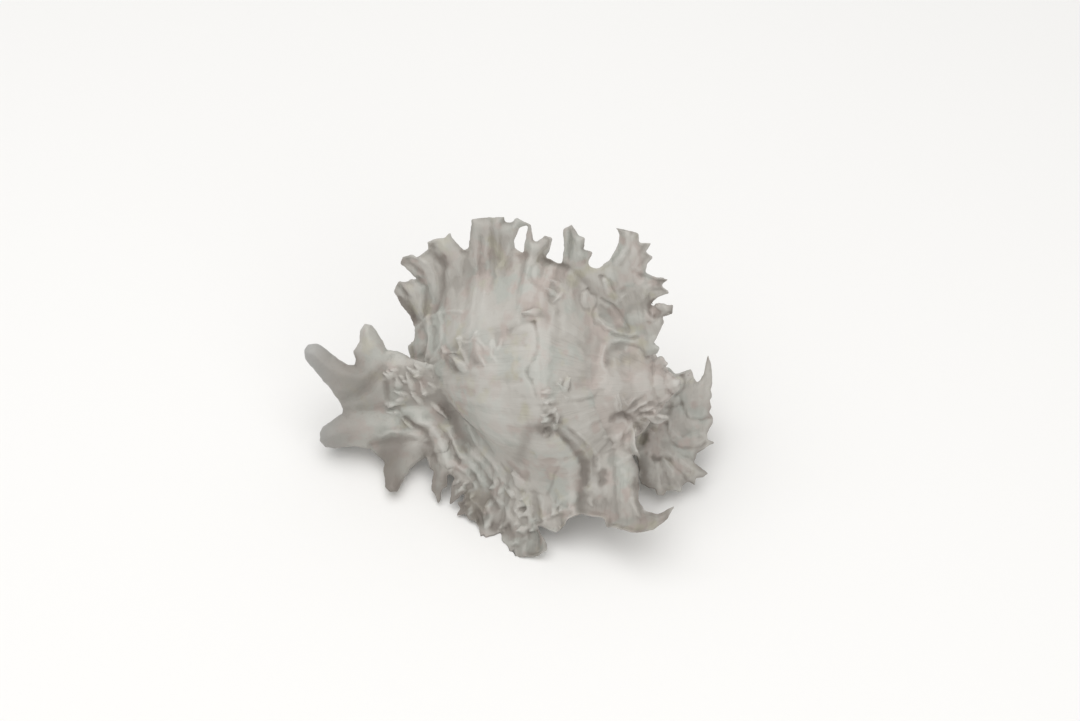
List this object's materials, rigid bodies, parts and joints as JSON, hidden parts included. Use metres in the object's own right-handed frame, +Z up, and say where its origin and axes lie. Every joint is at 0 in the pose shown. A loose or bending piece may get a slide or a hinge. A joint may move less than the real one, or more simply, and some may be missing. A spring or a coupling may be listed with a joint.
{
  "type": "murex shell",
  "caption": "Right-handed spiral sea shell with leafy, toothed frills along its ribs, a low spire, an oval mouth and a flat canal that ends in blunt fingers.",
  "frame": {"origin": "centre of the outside in plan, on the surface the shell rests on", "axes": "+Z up, +X towards the spire, -Y towards the side that the picture shows"},
  "size_m": [0.2118, 0.1352, 0.1504],
  "materials": {
    "chalky_shell": "dry, chalky, slightly rough"
  },
  "bodies": {
    "root": {"murex_shell": "chalky_shell"}
  },
  "joints": []
}
